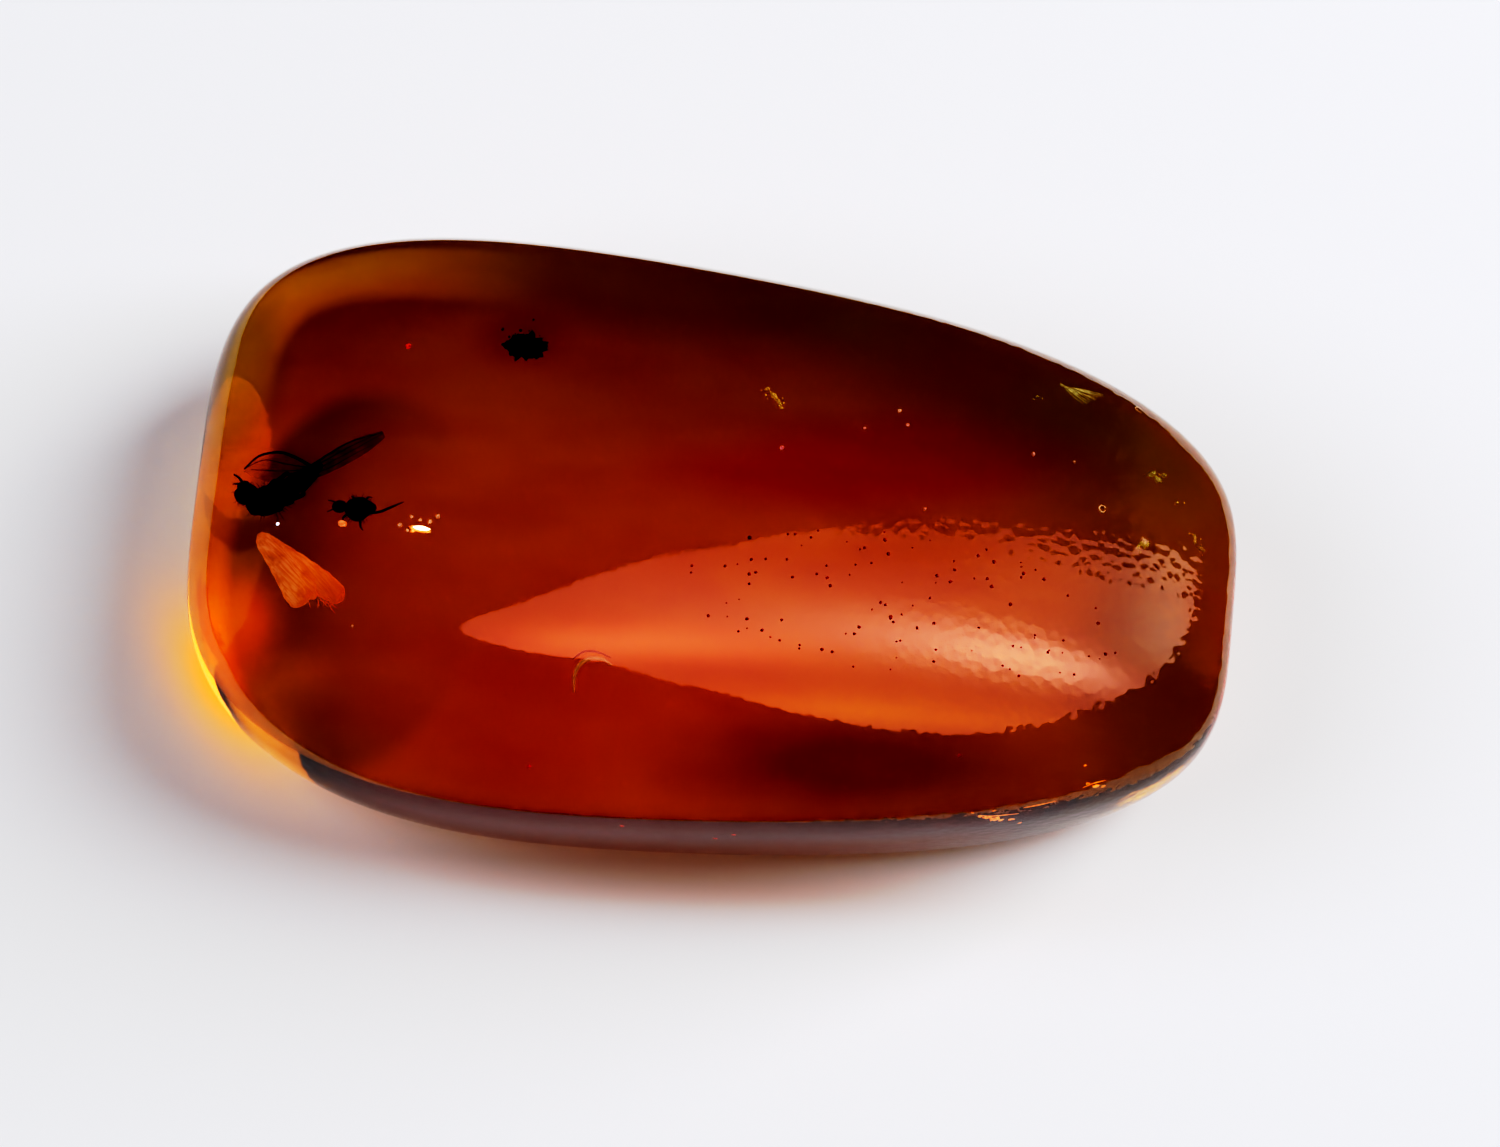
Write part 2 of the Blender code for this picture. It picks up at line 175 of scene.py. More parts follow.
class Graph:
    """A material and short names for the nodes that it is made of."""

    def __init__(self, name):
        self.material = bpy.data.materials.new(name)
        self.material.use_nodes = True
        self.material.cycles.emission_sampling = "NONE"  # glowing meshes aren't lamps
        self.nodes = self.material.node_tree.nodes
        self.shader = self.nodes["Principled BSDF"]
        self.output = self.nodes["Material Output"]

    def join(self, source, socket):
        if isinstance(source, bpy.types.NodeSocket):
            self.material.node_tree.links.new(source, socket)
        else:
            socket.default_value = source

    def set(self, **values):
        for name, value in values.items():
            self.join(value, self.shader.inputs[name.replace("_", " ")])

    def add(self, kind, inputs, output=0, **settings):
        """A new node with its inputs filled in; gives one of its outputs."""
        node = self.nodes.new(kind)
        for name, value in settings.items():
            setattr(node, name, value)
        for name, value in inputs.items():
            self.join(value, node.inputs[name])
        return node.outputs[output]

    def millimetres(self):
        """Place on the object, in millimetres."""
        place = self.add("ShaderNodeTexCoord", {}, "Object")
        return self.add("ShaderNodeVectorMath", {0: place, "Scale": 1.0 / MM}, operation="SCALE")

    def axis(self, vector, letter):
        return self.add("ShaderNodeSeparateXYZ", {0: vector}, letter)

    def math(self, operation, first, second):
        return self.add("ShaderNodeMath", {0: first, 1: second}, operation=operation)

    def stretch(self, vector, factors):
        """Multiply a vector by three factors."""
        return self.add("ShaderNodeVectorMath", {0: vector, 1: factors}, operation="MULTIPLY")

    def fit(self, value, low, high, to_low=0.0, to_high=1.0):
        """Ease a value from one range to another."""
        inputs = dict(enumerate((value, low, high, to_low, to_high)))
        return self.add("ShaderNodeMapRange", inputs, interpolation_type="SMOOTHSTEP")

    def noise(self, vector, scale, detail=2.0, roughness=0.5):
        return self.add("ShaderNodeTexNoise", {"Vector": vector, "Scale": scale,
                                               "Detail": detail, "Roughness": roughness})

    def spots(self, vector, scale):
        """Distance to the nearest of many scattered points."""
        return self.add("ShaderNodeTexVoronoi", {"Vector": vector, "Scale": scale}, "Distance")

    def mix(self, share, first, second):
        """Blend two colours; each may be a node's output or red, green and blue."""
        first, second = ((*c, 1.0) if isinstance(c, tuple) else c for c in (first, second))
        return self.add("ShaderNodeMix", {0: share, 6: first, 7: second}, 2, data_type="RGBA")

    def patch(self, vector, centre, half, turn, softness):
        """One inside a turned ellipse, easing to nought around its edge."""
        place = self.add("ShaderNodeMapping", {
            "Vector": vector, "Location": (*centre, 0.0), "Scale": (*half, 1.0),
            "Rotation": (0.0, 0.0, math.radians(turn))}, vector_type="TEXTURE")
        away = self.add("ShaderNodeVectorMath", {0: place}, "Value", operation="LENGTH")
        return self.fit(away, 1.0 - softness, 1.0 + softness, 1.0, 0.0)

    def bump(self, height, distance):
        return self.add("ShaderNodeBump",
                        {"Height": height, "Strength": 1.0, "Distance": distance})

    def corner_colour(self, layer):
        """The colour kept at the corners of the mesh."""
        return self.add("ShaderNodeAttribute", {}, "Color", attribute_name=layer)


# ---- stage ----

FLOOR_DROP = 0.02 * MM  # keeps the floor clear of the flat face
FLOOR_COLOUR = (0.86, 0.865, 0.90, 1.0)
NEAR_FLOOR = (-30.0 * MM, 17.5 * MM, -11.5 * MM, 11.5 * MM)  # mirrored by the polished rim
FAR_FLOOR = (-1.5, 1.5, -1.5, 1.5)


def floor_piece(name, finish, outline, hole=None):
    """A level piece of floor; a hole is left where another piece lies."""
    grid = bmesh.new()
    rings = []
    for left, right, front, back in (outline, hole) if hole else (outline,):
        rings.append([grid.verts.new((x, y, -FLOOR_DROP)) for x, y in
                      ((left, front), (right, front), (right, back), (left, back))])
    if hole:
        for number in range(4):
            after = (number + 1) % 4
            grid.faces.new((rings[0][number], rings[0][after], rings[1][after], rings[1][number]))
    else:
        grid.faces.new(rings[0])
    floor = add_mesh(name, grid, finish)
    return floor


def make_floor():
    paper = Graph("stage_floor")
    paper.set(Base_Color=FLOOR_COLOUR, Roughness=0.9, Specular_IOR_Level=0.0)
    floor_piece("stage_floor_near", paper.material, NEAR_FLOOR)
    far = floor_piece("stage_floor", paper.material, FAR_FLOOR, NEAR_FLOOR)
    far.visible_glossy = False


LAMP_DISTANCE = 0.40
LAMPS = {  # azimuth, elevation, width, height, watts, colour
    "key": (69.0, 38.0, 0.27, 0.46, 2.15, (1.0, 0.985, 0.97)),
    "fill": (265.0, 48.0, 0.32, 0.32, 0.69, (0.93, 0.96, 1.0)),
}
SKY_COLOUR = (0.88, 0.92, 1.0, 1.0)
SKY_STRENGTH = 0.075


def make_lamps():
    for name, (azimuth, elevation, width, height, power, colour) in LAMPS.items():
        light = bpy.data.lights.new(name, "AREA")
        light.shape = "ELLIPSE"
        light.size = width
        light.size_y = height
        light.energy = power
        light.color = colour
        lamp = add_object(name, light)
        look_from(lamp, direction(azimuth, elevation), LAMP_DISTANCE)
        lamp.visible_glossy = False
        lamp.visible_camera = False


def make_sky():
    world = bpy.data.worlds.new("sky")
    bpy.context.scene.world = world
    world.use_nodes = True
    background = world.node_tree.nodes["Background"]
    background.inputs["Color"].default_value = SKY_COLOUR
    background.inputs["Strength"].default_value = SKY_STRENGTH
    world.cycles_visibility.glossy = False


# The window that the dome mirrors, as (to +X, to +Y) angles away from the zenith.
WINDOW_RADIUS = 0.45
WINDOW_OUTLINE = (
    (-19.3, -12.7), (-13.3, -5.1), (-8.3, 1.8), (-4.0, 7.5), (-1.3, 10.6), (1.7, 13.5),
    (9.3, 15.8), (17.8, 17.2), (30.1, 17.9), (44.8, 18.8), (64.2, 21.7), (76.5, 23.1),
    (87.3, 25.1), (84.7, 23.8), (81.7, 20.7), (74.3, 11.5), (65.9, -2.9), (49.9, -23.5),
    (36.1, -40.5), (23.9, -49.3), (16.3, -48.8), (10.0, -44.8), (4.8, -40.3), (0.1, -32.0),
    (-4.7, -23.9), (-7.9, -21.5), (-13.8, -18.5),
)
WINDOW_CENTRE = (20.0, -12.0)
WINDOW_RINGS = 48
WINDOW_STEPS = 4  # corners for each stretch of the outline
WINDOW_EDGE = 0.985  # share of the way out where the glow starts to end
WINDOW_COLOUR = (3.1, 1.25, 1.5)  # the plain part of the mirrored window
WINDOW_LIGHTS = (  # centre, half size, turn, added colour
    ((-4.5, -15.5), (12.0, 7.5), 12.0, (8.2, 2.0, 1.0)),
    ((12.0, -40.0), (26.0, 10.0), -12.0, (4.4, 1.3, 0.0)),
    ((27.0, -11.0), (25.0, 9.0), -14.0, (10.6, 5.4, 4.2)),
    ((64.0, 12.0), (24.0, 18.0), 30.0, (1.6, 1.9, 1.4)),
    ((14.0, 14.0), (22.0, 6.0), 14.0, (-0.8, -0.5, -0.5)),
)


def sky_point(east, north):
    """A place on the sky dome, east and north of the zenith in degrees."""
    away = math.hypot(east, north)
    azimuth = math.degrees(math.atan2(east, north))
    return direction(azimuth, 90.0 - away) * WINDOW_RADIUS


def window_colour(place, out):
    """Light of the mirrored window in a direction, with a short fade at its edge."""
    colour = Vector(WINDOW_COLOUR)
    for *area, added in WINDOW_LIGHTS:
        colour += glow_share(*place, *area) * Vector(added)
    fade = min(1.0, (1.0 - out) / (1.0 - WINDOW_EDGE))
    return [max(0.0, part) * fade for part in colour]


def fill_disc(grid, light, centre, outline, shares, light_at):
    """A lit disc in the sky, as rings at some shares of the way out to its outline."""
    rings = []
    for share in shares:
        ring = []
        for edge in outline if share else outline[:1]:
            place = centre.lerp(edge, share)
            corner = grid.verts.new(sky_point(*place))
            corner[light] = (*light_at(place, share), 1.0)
            ring.append(corner)
        rings.append(ring)
    fill_rings(grid, rings)


def corner_light(name):
    """Emission in the colour kept at each corner of a mesh."""
    glow = Graph(name)
    glow.nodes.remove(glow.shader)
    emission = glow.add("ShaderNodeEmission", {"Color": glow.corner_colour("light")})
    glow.join(emission, glow.output.inputs["Surface"])
    return glow, emission


def make_window():
    """The glow whose warm mirror image is the long highlight on the dome."""
    patch = bmesh.new()
    light = patch.verts.layers.float_color.new("light")
    count = len(WINDOW_OUTLINE)
    smooth = []
    for index in range(count):
        around = [Vector(WINDOW_OUTLINE[(index + k - 1) % count]) for k in range(4)]
        smooth += [curve_point(*around, step / WINDOW_STEPS) for step in range(WINDOW_STEPS)]
    shares = [WINDOW_EDGE * ring / (WINDOW_RINGS - 1) for ring in range(WINDOW_RINGS)]
    fill_disc(patch, light, Vector(WINDOW_CENTRE), smooth, (*shares, 1.0), window_colour)
    window = add_mesh("stage_window_mirrored", patch, corner_light("window_mirrored")[0].material)
    window.visible_camera = False
    window.visible_shadow = False
    window.visible_diffuse = False
    window.visible_transmission = False


# Bright places in the sky that the front rim shows, by a reflection off the base: place
# as east and north, radius and light. Only light that passes through the stone meets them.
BEYOND = (
    ((29.0, 48.0), 13.0, (2.2, 2.0, 1.2)),
    ((-4.0, 53.0), 26.0, (0.16, 0.05, 0.0)),
)
BEYOND_RINGS = 8
BEYOND_TURNS = 24


def make_beyond():
    """Round patches of light in the sky, fading to nought at their edge."""
    disc = bmesh.new()
    light = disc.verts.layers.float_color.new("light")
    angles = [2 * math.pi * turn / BEYOND_TURNS for turn in range(BEYOND_TURNS)]
    shares = [step / BEYOND_RINGS for step in range(BEYOND_RINGS + 1)]
    for place, radius, colour in BEYOND:
        centre = Vector(place)
        outline = [centre + radius * Vector((math.cos(a), math.sin(a))) for a in angles]
        fill_disc(disc, light, centre, outline, shares,
                  lambda place, out: Vector(colour) * (1.0 - out ** 2))
    patch = add_mesh("stage_beyond", disc, corner_light("beyond")[0].material)
    patch.visible_camera = False
    patch.visible_diffuse = False
    patch.visible_glossy = False
    patch.visible_shadow = False


# Painted light and shade on the floor: light that the dome gathers at its far side from the window,
# and painted shadow
# around the stone, in millimetres: centre, half size, turn, added light and what is left of the
# paper's own colour under the painted shade.
GATHERED = (
    ((-9.5, -1.5), (0.5, 0.75), 20.0, (0.90, 0.20, 0.05), (1.0, 1.0, 1.0)),
    ((-8.6, -2.2), (0.8, 0.3), 0.0, (0.30, 0.14, 0.02), (1.0, 1.0, 1.0)),
    ((-11.3, -3.2), (2.4, 1.2), -50.0, (0.95, 0.24, 0.0), (0.75, 0.47, 0.12)),
    # painted shadow only: darker paper under the front of the stone
    ((0.0, -6.9), (7.6, 0.95), 2.0, (0.0, 0.0, 0.0), (0.84, 0.68, 0.60)),
)
GATHERED_BOX = (-15.0, 13.4, -10.0, 2.0)
GATHERED_STEP = 0.2
GATHERED_LEVEL = -0.50 * FLOOR_DROP

# Light along the line where the rim looks down to, at the far left corner: place in
# millimetres and strength.
EDGE_LIGHT = (
    (-4.36, 5.00, 0.0), (-5.40, 5.10, 0.3), (-6.44, 5.13, 0.7), (-7.42, 5.13, 1.0),
    (-8.52, 5.04, 1.0), (-9.25, 4.78, 1.0), (-9.64, 4.25, 1.0), (-9.76, 3.50, 0.9),
    (-9.78, 2.84, 0.5), (-9.78, 2.20, 0.1), (-9.78, 1.40, 0.0),
)
EDGE_LIGHT_COLOUR = (0.26, 0.21, 0.0)
EDGE_LIGHT_WIDTH = 0.34  # millimetres
EDGE_LIGHT_STEPS = 8  # pieces between two places
EDGE_LIGHT_LEVEL = -0.30 * FLOOR_DROP
EDGE_LIGHT_ACROSS = ((-0.6, 0.0), (0.0, 1.0), (0.5, 0.8), (1.0, 0.0))  # share in, strength


def light_film(name, corners, level):
    """A clear film on the floor that adds painted light and may paint shade on the paper below it.

    corners is a grid of rows of (x, y, added light, what is left of the colour below under the
    painted shade)."""
    grid = bmesh.new()
    light = grid.verts.layers.float_color.new("light")
    left = grid.verts.layers.float_color.new("left")
    rows = []
    for line in corners:
        row = []
        for x, y, added, kept in line:
            corner = grid.verts.new((x, y, level))
            corner[light] = (*added, 1.0)
            corner[left] = (*kept, 1.0)
            row.append(corner)
        rows.append(row)
    fill_rows(grid, rows)
    film, emission = corner_light(name)
    clear = film.add("ShaderNodeBsdfTransparent", {"Color": film.corner_colour("left")})
    both = film.add("ShaderNodeAddShader", {0: clear, 1: emission})
    film.join(both, film.output.inputs["Surface"])
    sheet = add_mesh(name, grid, film.material)
    sheet.visible_diffuse = False
    sheet.visible_shadow = False


def make_edge_light():
    """A narrow ribbon of light on the floor under the far left rim."""
    route = spline([(x, y, 0.0) for x, y, _ in EDGE_LIGHT], EDGE_LIGHT_STEPS)
    strengths = [strength for _, _, strength in EDGE_LIGHT]
    rows = []
    for number, place in enumerate(route):
        ahead = route[min(number + 1, len(route) - 1)] - route[max(number - 1, 0)]
        inward = Vector((-ahead.y, ahead.x, 0.0)).normalized()
        strength = between(strengths, number / (len(route) - 1))
        row = []
        for depth, share in EDGE_LIGHT_ACROSS:
            spot = (place + inward * depth * EDGE_LIGHT_WIDTH) * MM
            row.append((spot.x, spot.y, [strength * share * c for c in EDGE_LIGHT_COLOUR], WHITE))
        rows.append(row)
    light_film("stage_edge_light", rows, EDGE_LIGHT_LEVEL)


def make_gathered_light():
    """The caustic and the warm shade around the stone."""
    left, right, front, back = GATHERED_BOX
    rows = []
    for j in range(round((back - front) / GATHERED_STEP) + 1):
        row = []
        for i in range(round((right - left) / GATHERED_STEP) + 1):
            x, y = left + i * GATHERED_STEP, front + j * GATHERED_STEP
            added, kept = Vector((0, 0, 0)), Vector(WHITE)
            for *area, colour, rest in GATHERED:
                share = glow_share(x, y, *area)
                added += share * Vector(colour)
                kept = Vector(k * (1 - share * (1 - r)) for k, r in zip(kept, rest))
            row.append((x * MM, y * MM, added, kept))
        rows.append(row)
    light_film("stage_gathered_light", rows, GATHERED_LEVEL)


# ---- the stone ----

def plan_width(along):
    """Width of the stone at a place along it, as a share of its greatest width."""
    return 1.0 - TAPER * along - END_NARROWING * along ** 2


def plan_lean(along):
    """Sideways place of the stone's middle line, as a share of half its width."""
    return BOW * along ** 2 + SLANT * along + SLANT_CURVE * along ** 3


def plan_squareness(rise):
    """How square the outline is: less so towards the top and the base."""
    return PLAN_SQUARENESS + (TOP_SQUARENESS - PLAN_SQUARENESS) * rise ** 2


def dome_height(place):
    """Height of the dome over a place near its middle or shoulders, all in millimetres."""
    low, high = 0.0, 1.0
    along = place.x / (LENGTH / 2 / MM)
    across = ((place.y * MM - CENTRE_SHIFT) / (WIDTH / 2) - plan_lean(along)) / plan_width(along)
    for _ in range(24):  # halve the gap around the answer
        rise = 0.5 * (low + high)
        squareness = plan_squareness(rise)
        ring = (abs(along) ** squareness + abs(across) ** squareness) ** (1 / squareness)
        reach = (1.0 - rise ** DOME_FULLNESS) ** (1 / DOME_FULLNESS)
        low, high = (rise, high) if reach > ring else (low, rise)
    return (GIRDLE_Z + (HEIGHT - GIRDLE_Z) * low) / MM


def cube_grid(cuts):
    """A cube from -1 to 1 with its faces cut into a grid."""
    grid = bmesh.new()
    bmesh.ops.create_cube(grid, size=2.0)
    bmesh.ops.subdivide_edges(grid, edges=grid.edges[:], cuts=cuts, use_grid_fill=True)
    return grid


def superellipse(angle, exponent):
    """Reach and rise of a squared circle at an angle."""
    reach, rise = math.cos(angle), math.sin(angle)
    size = (abs(reach) ** exponent + abs(rise) ** exponent) ** (1.0 / exponent)
    return reach / size, rise / size


def profile(ring, level):
    """Reach, rise and height of the section; ring is the share of the way out on the flat
    base or the top, and level runs from the base at -1 over the girdle to the top at 1."""
    keel = GIRDLE_Z + GROUND_OFF
    foot_rise = GIRDLE_Z / keel
    foot_reach = (1.0 - foot_rise ** KEEL_FULLNESS) ** (1.0 / KEEL_FULLNESS)
    if level < -1.0 + 1e-6:
        return foot_reach * ring, foot_rise, 0.0
    if level < 0.0:
        foot_angle = math.atan2(foot_rise, foot_reach)
        reach, rise = superellipse(-foot_angle * level, KEEL_FULLNESS)
        return reach, rise, GIRDLE_Z - keel * rise
    if level > 1.0 - 1e-6:
        angle = math.pi / 2 + (RIM_ANGLE - math.pi / 2) * ring
    else:
        angle = RIM_ANGLE * level
    reach, rise = superellipse(angle, DOME_FULLNESS)
    return reach, rise, GIRDLE_Z + (HEIGHT - GIRDLE_Z) * rise


def stone_point(cube_point):
    """Where a point of the gridded cube lies on the stone."""
    a, b, level = cube_point
    ring = max(abs(a), abs(b))
    reach, rise, height = profile(ring, level)
    along = across = 0.0
    if ring > 1e-9:
        squareness = plan_squareness(rise)
        size = (abs(a) ** squareness + abs(b) ** squareness) ** (1.0 / squareness)
        along, across = reach * a / size, reach * b / size
    if along < 0.0 and across < 0.0:
        kept = 1.0 - CORNER_WEAR * (along * across) ** 4
        along, across = kept * along, kept * across
    y = WIDTH / 2 * (plan_width(along) * across + plan_lean(along)) + CENTRE_SHIFT
    return Vector((LENGTH / 2 * along, y, height))


AMBER_IOR = 1.54
AMBER_ROUGHNESS = 0.024
ABSORPTION_DENSITY = 300.0
ABSORPTION_COLOUR = (0.912, 0.670, 0.0, 1.0)

# Painted shade: soft darker patches through the dome, by place above the stone in millimetres:
# centre, half size, turn, softness and the colour that the amber is multiplied by.
PAINTED_SHADE = (
    ((-2.6, 5.3), (6.6, 1.2), -3.0, 0.6, (0.62, 0.95, 1.0)),
    ((5.5, 4.1), (5.6, 1.4), -17.0, 0.6, (0.64, 0.92, 1.0)),
    ((8.6, 2.4), (2.5, 2.0), -20.0, 0.6, (0.76, 1.0, 1.0)),
    ((-1.6, 2.3), (6.8, 1.0), 6.0, 0.7, (0.96, 1.0, 1.0)),
    ((3.4, 1.2), (4.4, 1.0), 8.0, 0.7, (0.88, 0.30, 1.0)),
    ((-3.4, -5.1), (5.4, 1.7), 2.0, 0.6, (0.90, 0.60, 1.0)),
    ((3.9, -5.4), (3.8, 1.0), 5.0, 0.7, (0.22, 0.20, 1.0)),
    ((10.2, -2.5), (1.6, 2.6), 10.0, 0.6, (0.60, 0.70, 1.0)),
    ((11.4, 0.4), (1.0, 3.4), 0.0, 0.6, (0.90, 0.85, 1.0)),
    ((-11.6, 2.6), (1.3, 2.1), 0.0, 0.4, (0.45, 0.62, 1.0)),
    ((-9.8, 0.0), (0.9, 0.6), 0.0, 0.7, (0.72, 0.50, 1.0)),
    ((-4.8, 3.6), (0.9, 0.6), 0.0, 0.8, (0.62, 0.40, 1.0)),
)
# Sharp outer edges of the shade inside the glowing rims: outer ellipse and its softness,
# inner ellipse where the shade has faded and its softness, colour.
RIM_EDGES = (
    (((-8.0, -2.2), (3.05, 4.2), 0.08), ((-5.6, -1.8), (2.7, 4.0), 0.6), (0.30, 0.50, 1.0)),
    (((-6.1, 1.5), (4.7, 4.15), 0.22), ((-4.6, 0.6), (3.6, 3.1), 0.6), (0.96, 0.72, 1.0)),
)
SHADE_FOOT = (3.3, 4.3)  # the painted shade ends between these heights
CLOUD_STRETCH = (0.32, 1.0, 0.7)  # clouds are drawn out along the stone
CLOUD_RANGE = (-0.45, 0.45)
CLOUD_DEPTH = (0.07, 0.14)  # how much red and green the clouds take away
SKIN_DEPTH = 0.0048  # millimetres of relief on the polished skin
FLAKES_PER_MM = 4.5
WORN_FROM, WORN_TO = 0.5, 9.5  # the skin grows flaky between these places along X
POLISHED_FLAKES, WORN_FLAKES = 0.10, 0.9  # flakiness of all the skin, and added where worn


def ease(value, low, high):
    """Nought below low, one above high, with a smooth rise between."""
    share = min(1.0, max(0.0, (value - low) / (high - low)))
    return share * share * (3.0 - 2.0 * share)


def within(place, centre, half, turn, softness):
    """One inside a turned ellipse, easing to nought around its edge."""
    away = ellipse_reach(place.x, place.y, centre, half, turn)
    return 1.0 - ease(away, 1.0 - softness, 1.0 + softness)


def tint_and_painted_shade(place):
    """Colour of the amber at a place on its surface, in millimetres: painted shade from the patches
    and the rim edges, and clouds in its own tone.
    """
    on_dome = ease(place.z, *SHADE_FOOT)
    colour = Vector(WHITE)
    # painted shade: the patches and the rim edges darken the amber's colour
    shades = [(within(place, *area), tint) for *area, tint in PAINTED_SHADE]
    for (centre, half, softness), (core, reach, fade), tint in RIM_EDGES:
        outer = within(place, centre, half, 0.0, softness)
        shades.append((outer * (1.0 - within(place, core, reach, 0.0, fade)), tint))
    for share, tint in shades:
        colour = Vector(c * (1.0 - on_dome * share * (1.0 - t)) for c, t in zip(colour, tint))
    cloud = noise.fractal(Vector(c * f for c, f in zip(place, CLOUD_STRETCH)), 0.9, 2.0, 3)
    clear = ease(cloud, *CLOUD_RANGE)
    red, green = (1.0 - depth + depth * clear for depth in CLOUD_DEPTH)
    return (colour.x * red, colour.y * green, colour.z, 1.0)


def amber_material():
    """Clear resin: colour with painted shade, and a skin that is flaky towards the narrow end."""
    amber = Graph("amber")
    place = amber.millimetres()
    amber.set(IOR=AMBER_IOR, Transmission_Weight=1.0, Roughness=AMBER_ROUGHNESS,
              Base_Color=amber.corner_colour("tint_and_painted_shade"))
    worn = amber.fit(amber.axis(place, "X"), WORN_FROM, WORN_TO)
    relief = amber.math("ADD", amber.math("MULTIPLY", worn, WORN_FLAKES), POLISHED_FLAKES)
    flakes = amber.math("MULTIPLY", amber.spots(place, FLAKES_PER_MM), relief)
    amber.set(Normal=amber.bump(flakes, SKIN_DEPTH * MM))
    volume = amber.add("ShaderNodeVolumeAbsorption",
                       {"Color": ABSORPTION_COLOUR, "Density": ABSORPTION_DENSITY})
    amber.join(volume, amber.output.inputs["Volume"])
    return amber.material


def make_stone():
    """The whole stone as one clear piece, in place of its two halves."""
    grid = cube_grid(STONE_CUTS)
    colour = grid.verts.layers.float_color.new("tint_and_painted_shade")
    for corner in grid.verts:
        corner.co = stone_point(corner.co)
        # each corner keeps the amber's colour, with its painted shade
        corner[colour] = tint_and_painted_shade(corner.co / MM)
    bmesh.ops.recalc_face_normals(grid, faces=grid.faces[:])
    stone = add_mesh("clear_amber", grid, amber_material())
    stone.data.shade_smooth()
    stone.data.set_sharp_from_angle(angle=FOOT_ANGLE)
    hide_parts("amber_upper", "amber_lower")
    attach(stone, "root")


# ---- the inclusions ----

# Flecks in the resin, in millimetres: place, half size, turn across the stone in degrees.
FLAKE_THICKNESS = 0.02
GOLD = (
    ((0.96, 2.86, 8.03), (0.05, 0.04), 20), ((1.11, 2.69, 8.06), (0.13, 0.05), -50),
    ((1.25, 2.53, 8.09), (0.09, 0.04), -65), ((1.32, 2.41, 8.12), (0.03, 0.03), 0),
    ((9.90, 2.16, 6.57), (0.11, 0.05), 40), ((10.04, 2.06, 6.52), (0.09, 0.07), -15),
    ((10.18, 2.20, 6.42), (0.05, 0.05), 0), ((9.86, 0.41, 6.83), (0.10, 0.09), 30),
    ((9.72, 0.30, 6.90), (0.05, 0.03), 70), ((11.02, 0.86, 6.08), (0.04, 0.11), 12),
    ((11.18, 0.68, 5.95), (0.12, 0.04), -14), ((10.55, 1.60, 6.38), (0.03, 0.02), 0),
    ((7.10, 3.60, 7.00), (0.03, 0.02), 0),
)
DUST = (
    (3.25, 2.14, 8.07), (1.42, 1.43, 8.25), (8.09, 2.05, 7.32), (7.14, 2.07, 7.56),
    (4.79, 0.36, 8.10), (4.00, 2.68, 7.90), (4.22, 2.35, 7.95), (-7.90, -3.45, 7.20),
    (-7.05, -1.11, 7.74), (-6.81, -0.91, 7.79), (-6.20, -0.88, 7.90), (-6.87, -1.24, 7.76),
    (-6.37, -1.01, 7.87), (-6.60, -0.98, 7.84),
)
RED = ((-7.38, 3.24, 7.43, 0.07), (-1.42, -6.80, 4.60, 0.05), (0.72, -6.66, 3.90, 0.06),
       (6.1, -4.9, 6.60, 0.04), (-3.6, -5.9, 6.00, 0.04), (1.15, -6.68, 4.30, 0.05))
GLINTS = (
    (6.73, -5.80, 4.86, 0.06), (6.90, -5.79, 4.76, 0.09), (7.07, -5.77, 4.60, 0.11),
    (7.22, -5.74, 4.50, 0.07), (7.46, -5.69, 4.45, 0.07), (7.66, -5.66, 4.10, 0.05),
    (6.55, -5.78, 5.05, 0.04), (7.02, -5.68, 5.02, 0.04), (9.29, -4.89, 5.12, 0.09),
    (9.10, -4.90, 5.28, 0.05), (9.46, -4.84, 4.98, 0.05), (8.98, -4.63, 5.80, 0.04),
)
THREADS = (  # fine lines of light between the glints
    ((7.70, -5.55, 4.98), (7.92, -5.46, 4.95), (8.16, -5.39, 4.96), (8.43, -5.30, 4.97)),
    ((6.72, -5.78, 4.90), (6.95, -5.76, 4.80), (7.30, -5.68, 4.75), (7.60, -5.60, 4.70)),
    ((9.00, -4.98, 5.20), (9.25, -4.84, 5.20), (9.50, -4.74, 5.16)),
)


def spline(points, steps):
    """A smooth route through the points."""
    knots = [Vector(p) for p in points]
    knots = [2 * knots[0] - knots[1], *knots, 2 * knots[-1] - knots[-2]]
    route = []
    for p0, p1, p2, p3 in zip(knots, knots[1:], knots[2:], knots[3:]):
        route += [curve_point(p0, p1, p2, p3, step / steps) for step in range(steps)]
    route.append(knots[-2])
    return route


def between(values, share):
    """Value at a share of the way along a list of values."""
    place = min(share, 0.999999) * (len(values) - 1)
    low = int(place)
    return values[low] + (values[low + 1] - values[low]) * (place - low)


